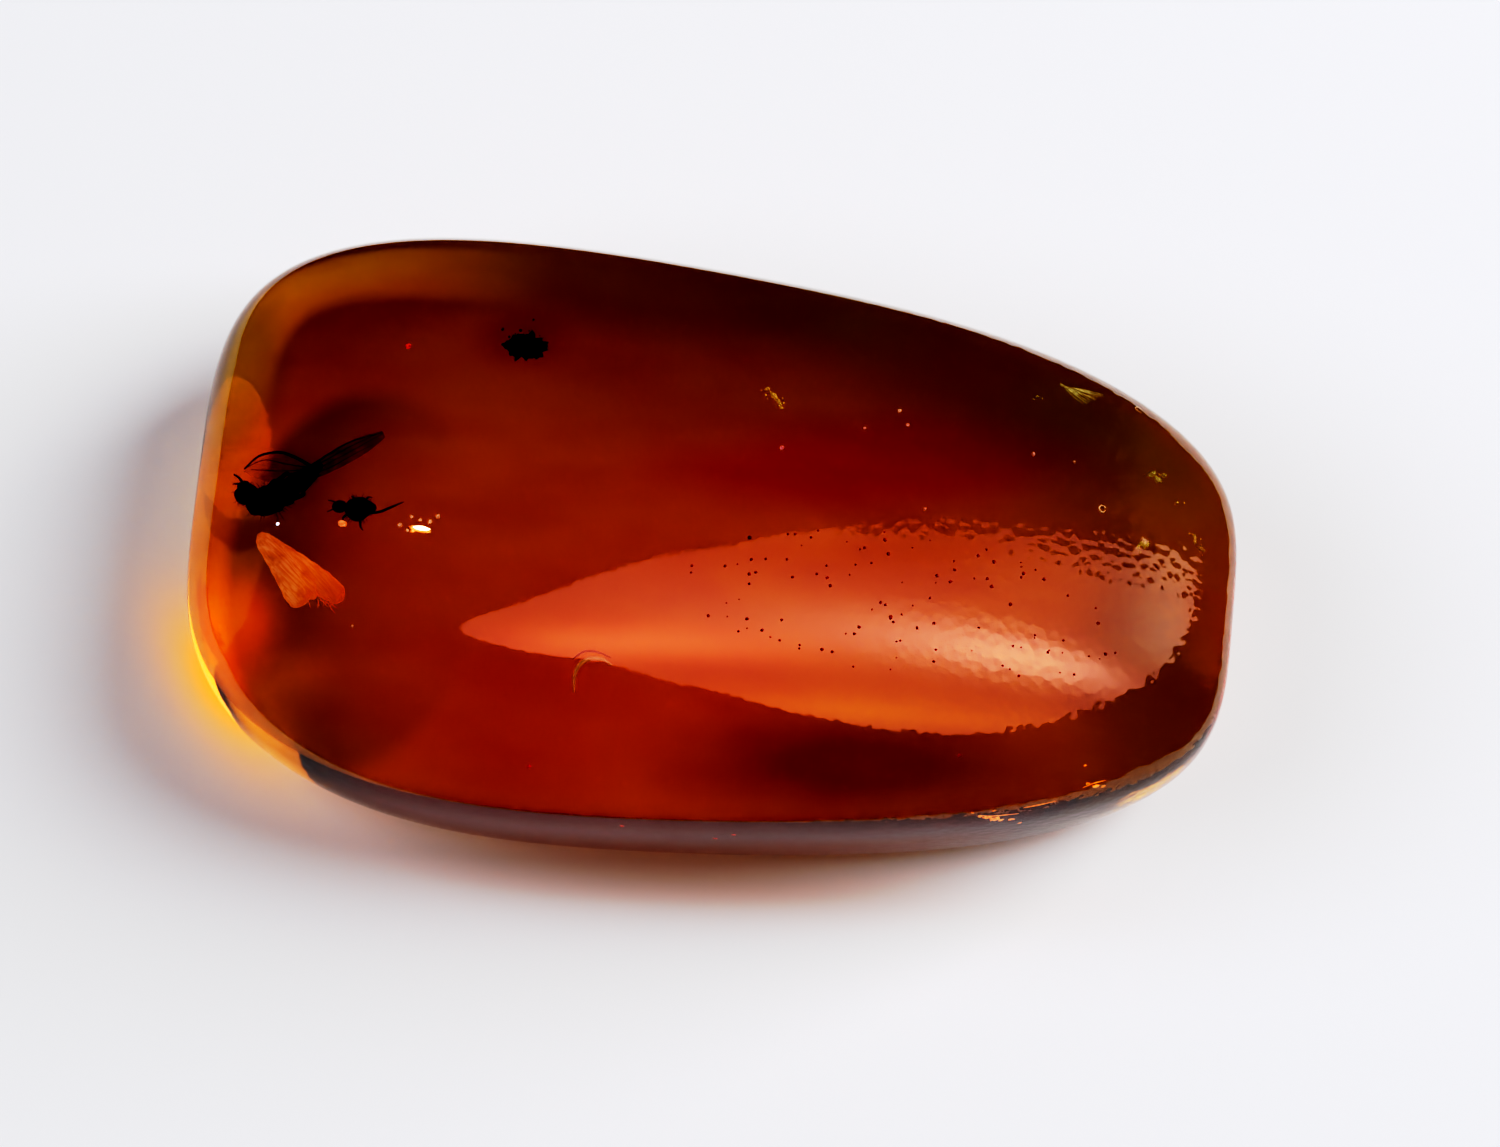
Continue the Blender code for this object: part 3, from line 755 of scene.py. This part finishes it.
class Shape:
    """A mesh built from balls, limbs and blades, in millimetres."""

    def __init__(self, name, *finishes):
        self.name = name
        self.finishes = finishes
        self.grid = bmesh.new()

    def ball(self, centre, half, yaw=0.0, finish=0, rough=0.0, seed=1, level=3):
        """An ellipsoid turned by yaw degrees, uneven by the share given as rough."""
        chance = random.Random(seed)
        ripples = [(Vector([chance.uniform(-1, 1) for _ in range(3)]).normalized(),
                    chance.uniform(2, 9), chance.uniform(0, 6)) for _ in range(12)]
        made = bmesh.ops.create_icosphere(self.grid, subdivisions=level, radius=1.0)["verts"]
        turn = Matrix.Rotation(math.radians(yaw), 3, "Z")
        for corner in made:
            lift = sum(math.sin(pace * corner.co.dot(way) * 2 + start)
                       for way, pace, start in ripples) / 4
            corner.co *= 1.0 + rough * lift
            corner.co = Vector(centre) + turn @ Vector(c * h for c, h in zip(corner.co, half))
        for face in {f for corner in made for f in corner.link_faces}:
            face.material_index = finish

    def dot(self, chance, centre, size, thickness, finish, rough=0.3, level=1):
        """A round speck, mostly thinner than it is wide."""
        half = (size, size, thickness * size)
        self.ball(centre, half, 0, finish, rough, chance.randint(1, 999), level)

    def limb(self, points, radii, sides=8, steps=6, finish=0, rings=0, groove=0.0):
        """A tapered tube through the points; rings and groove mark its segments."""
        route = spline(points, steps)
        side = Vector((0, 0, 1))
        loops = []
        for number, place in enumerate(route):
            ahead = route[min(number + 1, len(route) - 1)] - route[max(number - 1, 0)]
            ahead.normalize()
            side = (side - side.dot(ahead) * ahead).normalized()
            other = ahead.cross(side)
            share = number / (len(route) - 1)
            radius = between(radii, share)
            if rings:
                radius *= 1.0 - groove * abs(math.cos(math.pi * rings * share)) ** 6
            loops.append([self.grid.verts.new(
                place + radius * (side * math.cos(a) + other * math.sin(a)))
                for a in (2 * math.pi * k / sides for k in range(sides))])
        faces = []
        for one, two in zip(loops, loops[1:]):
            for k in range(sides):
                after = (k + 1) % sides
                faces.append(self.grid.faces.new((one[k], one[after], two[after], two[k])))
        faces.append(self.grid.faces.new(loops[0][::-1]))
        faces.append(self.grid.faces.new(loops[-1]))
        for face in faces:
            face.material_index = finish

    def hairs(self, chance, centre, half, count, length, radius):
        """Fine bristles that stand out from a ball."""
        for _ in range(count):
            out = Vector([chance.gauss(0, 1) for _ in range(3)]).normalized()
            root = Vector(centre) + Vector(c * h for c, h in zip(out, half))
            bend = Vector([chance.uniform(-0.3, 0.3) for _ in range(3)])
            reach = length * chance.uniform(0.6, 1.2)
            self.limb((root, root + reach * (out * 0.6 + 0.2 * bend), root + reach * (out + bend)),
                      (radius, radius * 0.7, radius * 0.2), sides=3, steps=2)

    def blade(self, root, tip, half_width, finish, camber=0.05, long=24, wide=8, lean=0.0):
        """A thin cambered wing; half_width is a list of (front, back) along its length."""
        root, tip = Vector(root), Vector(tip)
        ahead = (tip - root).normalized()
        across = Vector((-ahead.y, ahead.x, 0)).normalized()
        across = (across + Vector((0, 0, lean))).normalized()
        up = ahead.cross(across)
        rows = []
        for i in range(long + 1):
            share = i / long
            front = between([w[0] for w in half_width], share)
            back = between([w[1] for w in half_width], share)
            row = []
            for j in range(wide + 1):
                cross = -back + (front + back) * j / wide
                sag = camber * (1 - (2 * j / wide - 1) ** 2) + 0.012 * math.sin(9 * share + j)
                row.append(self.grid.verts.new(root.lerp(tip, share) + across * cross + up * sag))
            rows.append(row)
        for face in fill_rows(self.grid, rows):
            face.material_index = finish
        return rows

    def vein(self, rows, track, radius):
        """A raised vein over a blade: a track of (share along, share across)."""
        points = []
        for along, cross in track:
            row = rows[round(along * (len(rows) - 1))]
            points.append(row[round(cross * (len(row) - 1))].co.copy())
        self.limb(points, (radius, radius * 0.8, radius * 0.5), sides=6, steps=4)

    def make(self, slot, *replaced):
        """Finish the mesh, hide the CAD nodes that it stands for and hang it on the root body."""
        bmesh.ops.scale(self.grid, vec=(MM, MM, MM), verts=self.grid.verts)
        made = add_mesh(self.name, self.grid, *self.finishes)
        made.data.shade_smooth()
        if replaced:
            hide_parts(*replaced)
        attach(made, "root")


def chitin_material():
    """Dark shell with a brown bloom, fine pits and a dull shine."""
    shell = Graph("chitin")
    place = shell.millimetres()
    cloud = shell.noise(place, 3.0, 4.0, 0.6)
    grain = shell.noise(place, 26.0, 2.0, 0.5)
    colour = shell.mix(shell.fit(cloud, 0.35, 0.7), (0.006, 0.002, 0.001), (0.035, 0.012, 0.005))
    shell.set(Base_Color=colour, Roughness=shell.fit(grain, 0.3, 0.7, 0.3, 0.6),
              Normal=shell.bump(grain, 0.01 * MM))
    return shell.material


def wing_material(name, colour, dark, cover):
    """A stained membrane that lets some light through, darker in clouds."""
    wing = Graph(name)
    place = wing.millimetres()
    cloud = wing.noise(place, 4.5, 3.0, 0.6)
    pleat = wing.noise(wing.stretch(place, (3.0, 14.0, 3.0)), 2.0, 2.0, 0.5)
    wing.set(Base_Color=wing.mix(wing.fit(cloud, 0.35, 0.65), colour, dark), Roughness=0.45,
             Alpha=wing.fit(cloud, 0.3, 0.7, cover - 0.12, cover + 0.10),
             Normal=wing.bump(pleat, 0.02 * MM))
    return wing.material


def husk_material():
    """Pale silky case: fine threads along it, duller and browner towards its wide end; it glows
    with painted light.
    """
    husk = Graph("husk")
    place = husk.millimetres()
    turned = husk.add("ShaderNodeMapping",
                      {"Vector": place, "Rotation": (0.0, 0.0, math.radians(41))})
    threads = husk.noise(husk.stretch(turned, (1.2, 16.0, 9.0)), 1.6, 3.0)
    cloud = husk.noise(place, 2.4, 3.0, 0.6)
    wide_end = husk.patch(husk.stretch(place, (1.0, 1.0, 0.0)), (-8.1, -2.0),
                          (0.75, 0.6), 30.0, 0.8)
    colour = husk.mix(husk.fit(threads, 0.35, 0.7), (1.0, 0.40, 0.22), (0.80, 0.25, 0.08))
    colour = husk.mix(husk.math("MULTIPLY", 0.75, wide_end), colour, (0.40, 0.12, 0.04))
    colour = husk.mix(husk.fit(cloud, 0.5, 0.75), colour, (0.66, 0.20, 0.06))
    # painted light: the case glows in its own colour to stay bright deep in the resin
    husk.set(Base_Color=colour, Emission_Color=colour, Emission_Strength=0.70, Roughness=0.38,
             Normal=husk.bump(threads, 0.03 * MM))
    return husk.material


def bark_material():
    """Dark, grained bark."""
    bark = Graph("bark")
    place = bark.millimetres()
    grain = bark.noise(bark.stretch(place, (9.0, 3.0, 6.0)), 1.8, 5.0, 0.65)
    bark.set(Base_Color=bark.mix(bark.fit(grain, 0.35, 0.7), (0.012, 0.004, 0.002),
                                 (0.075, 0.022, 0.009)),
             Roughness=bark.fit(grain, 0.3, 0.7, 0.6, 0.95), Normal=bark.bump(grain, 0.05 * MM))
    return bark.material


def fleck_material(name, light, dark, glow, rough=0.5):
    """Dust, flakes and glints in the resin; glow stands for light caught at their edges."""
    fleck = Graph(name)
    place = fleck.millimetres()
    grain = fleck.noise(place, 12.0, 3.0, 0.6)
    colour = fleck.mix(fleck.fit(grain, 0.35, 0.65), light, dark)
    fleck.set(Base_Color=colour, Emission_Color=colour, Emission_Strength=glow,
              Roughness=rough, Normal=fleck.bump(grain, 0.03 * MM))
    return fleck.material


def make_winged_insect(chitin, chance):
    fly = Shape("winged_insect_fine", chitin,
                wing_material("wing", (0.10, 0.03, 0.01), (0.04, 0.012, 0.004), 0.52),
                wing_material("far_wing", (0.26, 0.05, 0.012), (0.12, 0.02, 0.006), 0.24))
    z = LEVEL
    head, thorax = (-10.30, 0.14, z), (-9.86, -0.01, z + 0.02)
    fly.ball(head, (0.24, 0.25, 0.22), 30, rough=0.04, seed=3)
    for side in (-1, 1):  # the large eyes
        fly.ball((-10.36 - 0.03 * side, 0.16 + 0.16 * side, z + 0.04), (0.13, 0.12, 0.15), 30,
                 rough=0.02, seed=5 + side)
    fly.ball(thorax, (0.44, 0.34, 0.36), 20, rough=0.05, seed=8, level=4)
    fly.ball((-9.55, 0.20, z + 0.10), (0.20, 0.17, 0.16), 35, rough=0.05, seed=9)
    fly.limb(((-9.72, 0.06, z), (-9.42, 0.30, z), (-9.14, 0.58, z - 0.02), (-8.80, 0.94, z - 0.05)),
             (0.20, 0.25, 0.23, 0.19, 0.09), sides=16, steps=14, rings=7, groove=0.14)
    fly.hairs(chance, thorax, (0.44, 0.34, 0.36), 70, 0.16, 0.008)
    fly.hairs(chance, head, (0.24, 0.25, 0.22), 30, 0.10, 0.006)
    fly.hairs(chance, (-9.15, 0.55, z), (0.24, 0.24, 0.18), 40, 0.10, 0.006)
    for side in (-1, 1):  # legs folded under the body
        for pair in range(3):
            turn = Matrix.Rotation(math.radians(40), 3, "Z")
            knots = ((0.14 * (pair - 1), 0.16 * side, -0.20),
                     (0.20 + 0.26 * pair, 0.31 * side, -0.34),
                     (0.04 + 0.40 * pair, 0.24 * side, -0.48),
                     (0.28 + 0.44 * pair, 0.15 * side, -0.52),
                     (0.42 + 0.44 * pair, 0.10 * side, -0.50))
            route = [Vector(thorax) + turn @ Vector(knot) for knot in knots]
            fly.limb(route, (0.05, 0.055, 0.04, 0.028, 0.022, 0.014), sides=8, steps=5)
            for knot in route[1:4]:
                fly.hairs(chance, knot, (0.04, 0.04, 0.04), 6, 0.07, 0.004)
    for x, y in ((-10.62, 0.60), (-10.62, 0.36)):  # antennae, beaded
        fly.limb((head, (-10.48, 0.5 * (y + 0.3), z + 0.14), (x, y, z + 0.06)),
                 (0.035, 0.028, 0.018), sides=7, steps=8, rings=9, groove=0.35)
    near = fly.blade((-9.62, 0.22, z + 0.16), (-7.55, 1.66, z + 0.24),
                     ((0.05, 0.05), (0.11, 0.10), (0.17, 0.15), (0.21, 0.19), (0.24, 0.20),
                      (0.24, 0.20), (0.21, 0.17), (0.10, 0.08)), 1, lean=-0.2)
    fly.vein(near, ((0.0, 0.9), (0.35, 1.0), (0.7, 1.0), (1.0, 0.6)), 0.026)
    fly.vein(near, ((0.0, 0.5), (0.4, 0.7), (0.7, 0.75), (0.95, 0.8)), 0.016)
    fly.vein(near, ((0.1, 0.5), (0.45, 0.5), (0.75, 0.5), (1.0, 0.5)), 0.014)
    fly.vein(near, ((0.15, 0.5), (0.45, 0.3), (0.7, 0.2), (0.9, 0.1)), 0.013)
    fly.vein(near, ((0.5, 0.75), (0.52, 0.6), (0.54, 0.5)), 0.011)
    far = fly.blade((-8.98, 0.80, z + 0.04), (-10.42, 0.70, z + 0.08),
                    ((0.04, 0.04), (0.20, 0.20), (0.32, 0.34), (0.36, 0.42), (0.32, 0.42),
                     (0.22, 0.30), (0.04, 0.05)), 2, lean=0.12)
    fly.vein(far, ((0.0, 0.0), (0.25, 0.0), (0.5, 0.0), (0.8, 0.0), (1.0, 0.4)), 0.040)
    fly.vein(far, ((0.0, 0.6), (0.4, 0.35), (0.7, 0.3), (0.95, 0.3)), 0.014)
    fly.vein(far, ((0.05, 0.7), (0.4, 0.6), (0.7, 0.6), (0.9, 0.6)), 0.014)
    fly.make("chitin", "winged_insect")


def make_small_insect(chitin, chance):
    gnat = Shape("small_insect_fine", chitin)
    z = LEVEL
    body, head = (-7.90, -0.06, z), (-8.30, -0.04, z)
    gnat.ball(body, (0.29, 0.27, 0.24), 15, rough=0.05, seed=21)
    gnat.ball(head, (0.16, 0.14, 0.13), 0, rough=0.05, seed=22)
    gnat.limb((body, (-7.66, -0.02, z), (-7.52, 0.02, z - 0.03)), (0.22, 0.17, 0.05), sides=12,
              steps=8, rings=4, groove=0.12)
    gnat.hairs(chance, body, (0.29, 0.27, 0.24), 40, 0.10, 0.006)
    gnat.limb((body, (-7.52, -0.13, z + 0.10), (-7.16, 0.04, z + 0.12), (-6.93, 0.18, z + 0.02)),
              (0.036, 0.030, 0.024, 0.010), sides=7, steps=6)
    for degrees, reach in ((55, 0.36), (118, 0.32), (165, 0.30), (215, 0.36), (285, 0.38)):
        angle = math.radians(degrees)
        out = Vector((math.cos(angle), math.sin(angle), 0.0)) * reach
        start = Vector(body)
        gnat.limb((start, start + 0.8 * out + Vector((0, 0, 0.05)),
                   start + out + Vector((0, 0, -0.08)),
                   start + 1.12 * out + Vector((0.05, 0, -0.22))),
                  (0.032, 0.026, 0.020, 0.010), sides=7, steps=4)
    for y in (0.05, -0.12):
        gnat.limb((head, (-8.44, y, z + 0.06), (-8.56, 1.6 * y, z + 0.02)), (0.02, 0.016, 0.008),
                  sides=6, steps=5)
    gnat.make("chitin", "small_insect")


def make_husk(chance):
    case = Shape("pale_husk_fine", husk_material())
    z = LEVEL
    case.limb(((-9.93, -0.76, z), (-9.80, -0.93, z), (-9.40, -1.42, z + 0.04),
               (-9.05, -1.92, z + 0.02), (-8.93, -2.16, z), (-8.90, -2.22, z)),
              (0.06, 0.20, 0.27, 0.30, 0.22, 0.03), sides=28, steps=10, rings=11, groove=0.05)
    case.limb(((-9.86, -0.80, z), (-9.70, -0.98, z - 0.02), (-9.10, -1.36, z - 0.05),
               (-8.50, -1.72, z - 0.04), (-8.12, -1.94, z - 0.02), (-8.05, -1.98, z)),
              (0.05, 0.18, 0.25, 0.27, 0.20, 0.03), sides=28, steps=10, rings=11, groove=0.05)
    case.limb(((-9.55, -1.05, z), (-9.10, -1.50, z - 0.02), (-8.78, -1.88, z),
               (-8.62, -2.04, z)), (0.08, 0.24, 0.24, 0.05), sides=28, steps=10)
    for _ in range(22):  # loose silk at the wide end
        start = Vector((chance.uniform(-9.05, -8.1), chance.uniform(-2.15, -1.8), z))
        start += Vector((0, 0, chance.uniform(-0.15, 0.15)))
        out = Vector((chance.uniform(-0.05, 0.2), chance.uniform(-0.2, 0.0),
                      chance.uniform(-0.1, 0.1)))
        case.limb((start, start + 0.6 * out, start + out), (0.012, 0.010, 0.004), sides=4, steps=3)
    case.make("husk", "pale_husk")


def make_crumb(chance):
    crumb = Shape("bark_crumb_fine", bark_material())
    centre = Vector((-4.69, 3.80, LEVEL))
    crumb.ball(centre, (0.40, 0.24, 0.22), 8, rough=0.30, seed=31, level=4)
    crumb.ball(centre + Vector((0.24, -0.06, 0.05)), (0.17, 0.15, 0.13), 30, rough=0.3, seed=32)
    crumb.ball(centre + Vector((-0.26, 0.07, -0.04)), (0.16, 0.12, 0.12), 60, rough=0.3, seed=33)
    for _ in range(26):  # dust around it
        off = Vector((chance.gauss(0, 0.22), chance.gauss(0.12, 0.14), chance.gauss(0.02, 0.10)))
        size = chance.uniform(0.012, 0.035)
        crumb.dot(chance, centre + off, size, 1.0, 0)
    crumb.make("bark", "bark_crumb")


SKIN_COVER = 0.04  # millimetres of resin above the highest flecks
PITS = 110  # dark specks for pits in the polish: painted shade where they break the mirrored highlight
PIT_CENTRE, PIT_REACH = (4.6, -1.9), (5.2, 1.6)
PIT_SIZE = (0.018, 0.048)


def below_skin(place, thickness):
    """The place itself, or one just under the dome where it would stand out of it."""
    x, y, z = place
    return Vector((x, y, min(z, dome_height(Vector(place)) - thickness - SKIN_COVER)))


def make_flecks(chance):
    """Golden flakes, dust, red dots and glints under the polished skin, and dark specks on it for
    pits, painted where they break the highlight.
    """
    flecks = Shape("flecks_in_the_resin",
                   fleck_material("golden_flake", (0.62, 0.40, 0.11), (0.40, 0.20, 0.05), 0.35),
                   fleck_material("pale_dust", (0.80, 0.48, 0.30), (0.55, 0.25, 0.12), 0.42),
                   fleck_material("red_dust", (0.75, 0.10, 0.04), (0.45, 0.04, 0.01), 0.35),
                   fleck_material("edge_glint", (1.0, 0.42, 0.08), (0.85, 0.22, 0.02), 0.85),
                   fleck_material("pit_painted_shade", (0.20, 0.012, 0.003), (0.10, 0.006, 0.002),
                                  0.0, 0.8))
    for centre, half, turn in GOLD:
        centre = below_skin(centre, FLAKE_THICKNESS)
        flecks.ball(centre, (*half, FLAKE_THICKNESS), turn, rough=0.45,
                    seed=chance.randint(1, 999))
        for _ in range(4):  # crumbs broken off each flake
            off = Vector((chance.gauss(0, 0.09), chance.gauss(0, 0.07), -0.04))
            size = chance.uniform(0.012, 0.03)
            flecks.dot(chance, centre + off, size, 0.4, 0)
    for centre in DUST:
        size = chance.uniform(0.03, 0.055)
        flecks.dot(chance, below_skin(centre, size), size, 0.5, 1, level=2)
    for *centre, size in RED:
        flecks.dot(chance, below_skin(centre, size), size, 0.5, 2, level=2)
    for x, y, z, size in GLINTS:
        flecks.ball((x, y, z), (size, 0.6 * size, 0.6 * size), chance.uniform(-40, 40), 3, 0.5,
                    chance.randint(1, 999), 2)
    for route in THREADS:
        flecks.limb(route, (0.010, 0.022, 0.020, 0.008), sides=5, steps=5, finish=3)
    for centre, radius in (((9.50, 3.91, 5.75), 0.085), ((8.82, 1.03, 7.22), 0.075)):
        ring = [Vector(centre) + radius * Vector((math.cos(a), math.sin(a), -0.4 * math.cos(a)))
                for a in (0.3 + 0.52 * k for k in range(12))]
        flecks.limb(ring, (0.018, 0.022, 0.018), sides=6, steps=3, finish=1)
    # painted shade: dark specks that hide the mirrored highlight where the polish is pitted
    pit_luck = random.Random(5)
    for _ in range(PITS):
        turn, reach = pit_luck.uniform(0, 2 * math.pi), math.sqrt(pit_luck.random())
        place = Vector((PIT_CENTRE[0] + PIT_REACH[0] * reach * math.cos(turn),
                        PIT_CENTRE[1] + PIT_REACH[1] * reach * math.sin(turn), 0))
        size = pit_luck.uniform(*PIT_SIZE)
        place.z = min(dome_height(place) - 0.2 * size, TOP - 0.8 * size)
        flecks.dot(pit_luck, place, size, 0.6, 4, rough=0.2)
    flecks.make("husk")


TUFT_FIBRES = 22


def make_fibre_tuft(chance):
    """A sliver of grey-gold plant fibre near the narrow end."""
    tuft = Shape("fibre_tuft", fleck_material("plant_fibre", (0.56, 0.38, 0.16),
                                              (0.28, 0.15, 0.05), 0.70))
    for number in range(TUFT_FIBRES):
        share = number / (TUFT_FIBRES - 1)
        start = Vector((7.60 + 0.12 * chance.random(), 4.12 - 0.10 * share, 6.50))
        end = Vector((8.15 + 0.50 * share + chance.uniform(-0.1, 0.1),
                      3.62 + 0.46 * share, 6.50 - 0.42 * share + 0.15 * (1 - share)))
        middle = start.lerp(end, 0.5) + Vector((chance.uniform(-0.05, 0.05),
                                                chance.uniform(-0.03, 0.05), 0.03))
        for point in (start, middle, end):
            point.z = min(point.z, dome_height(point) - 0.10)
        tuft.limb((start, middle, end), (0.006, 0.013, 0.004), sides=4, steps=4)
    tuft.make("bark")


def make_hooked_fibre():
    """A pale curled hair under the skin, with a dark line beside it that is its painted shadow."""
    hair = Shape("hooked_fibre",
                 fleck_material("pale_hair", (0.52, 0.30, 0.08), (0.36, 0.18, 0.04), 0.40),
                 fleck_material("hair_painted_shadow", (0.02, 0.005, 0.002), (0.01, 0.003, 0.001), 0.0))
    hair.limb(((-2.71, -4.56, 7.48), (-2.73, -4.20, 7.63), (-2.63, -3.96, 7.73),
               (-2.42, -3.82, 7.78), (-2.14, -3.81, 7.79), (-1.91, -3.92, 7.77)),
              (0.018, 0.048, 0.055, 0.05, 0.042, 0.016), sides=10, steps=8, rings=13, groove=0.12)
    # painted shadow: a dark line along the hair
    hair.limb(((-2.80, -3.86, 7.77), (-2.57, -3.68, 7.82), (-2.27, -3.66, 7.83),
               (-1.95, -3.76, 7.82)), (0.010, 0.024, 0.022, 0.008), sides=8, steps=6, finish=1)
    hair.make("husk")


def make_bright_bubble():
    """The lens-shaped bubble beside the insects, and two lesser ones, shown by painted glints that
    glow white and orange.
    """
    bubble = Shape("bright_bubble",
                   fleck_material("bubble_painted_glint", (1.0, 0.92, 0.80), (1.0, 0.72, 0.50), 2.2, 0.2),
                   fleck_material("bubble_rim_painted_glow", (1.0, 0.45, 0.16), (0.9, 0.25, 0.06), 0.75, 0.3))
    # painted glints: glowing balls that stand for the light the bubbles mirror
    bubble.ball((-6.55, -1.17, 7.82), (0.19, 0.050, 0.03), -5, 0, 0.10, 41, 4)
    bubble.ball((-6.56, -1.18, 7.77), (0.23, 0.075, 0.03), -6, 1, 0.25, 42, 4)
    bubble.ball((-6.74, -1.24, 7.75), (0.07, 0.03, 0.02), 20, 1, 0.3, 43)
    bubble.ball((-9.91, -1.11, 6.80), (0.042, 0.042, 0.03), 0, 0, 0.10, 44)
    bubble.ball((-8.38, -1.12, 7.38), (0.10, 0.075, 0.03), 0, 1, 0.30, 45)
    bubble.make("husk")


LIGHT_BOUNCES = 10

make_camera()
make_floor()
make_lamps()
make_sky()
make_window()
make_beyond()
make_gathered_light()
make_edge_light()
make_stone()
luck = random.Random(11)
shell = chitin_material()
make_winged_insect(shell, luck)
make_small_insect(shell, luck)
make_husk(luck)
make_crumb(luck)
make_flecks(luck)
make_fibre_tuft(luck)
make_hooked_fibre()
make_bright_bubble()

scene = bpy.context.scene
set_tones(scene.view_settings)
scene.cycles.max_bounces = LIGHT_BOUNCES
scene.cycles.glossy_bounces = LIGHT_BOUNCES
scene.cycles.transmission_bounces = LIGHT_BOUNCES
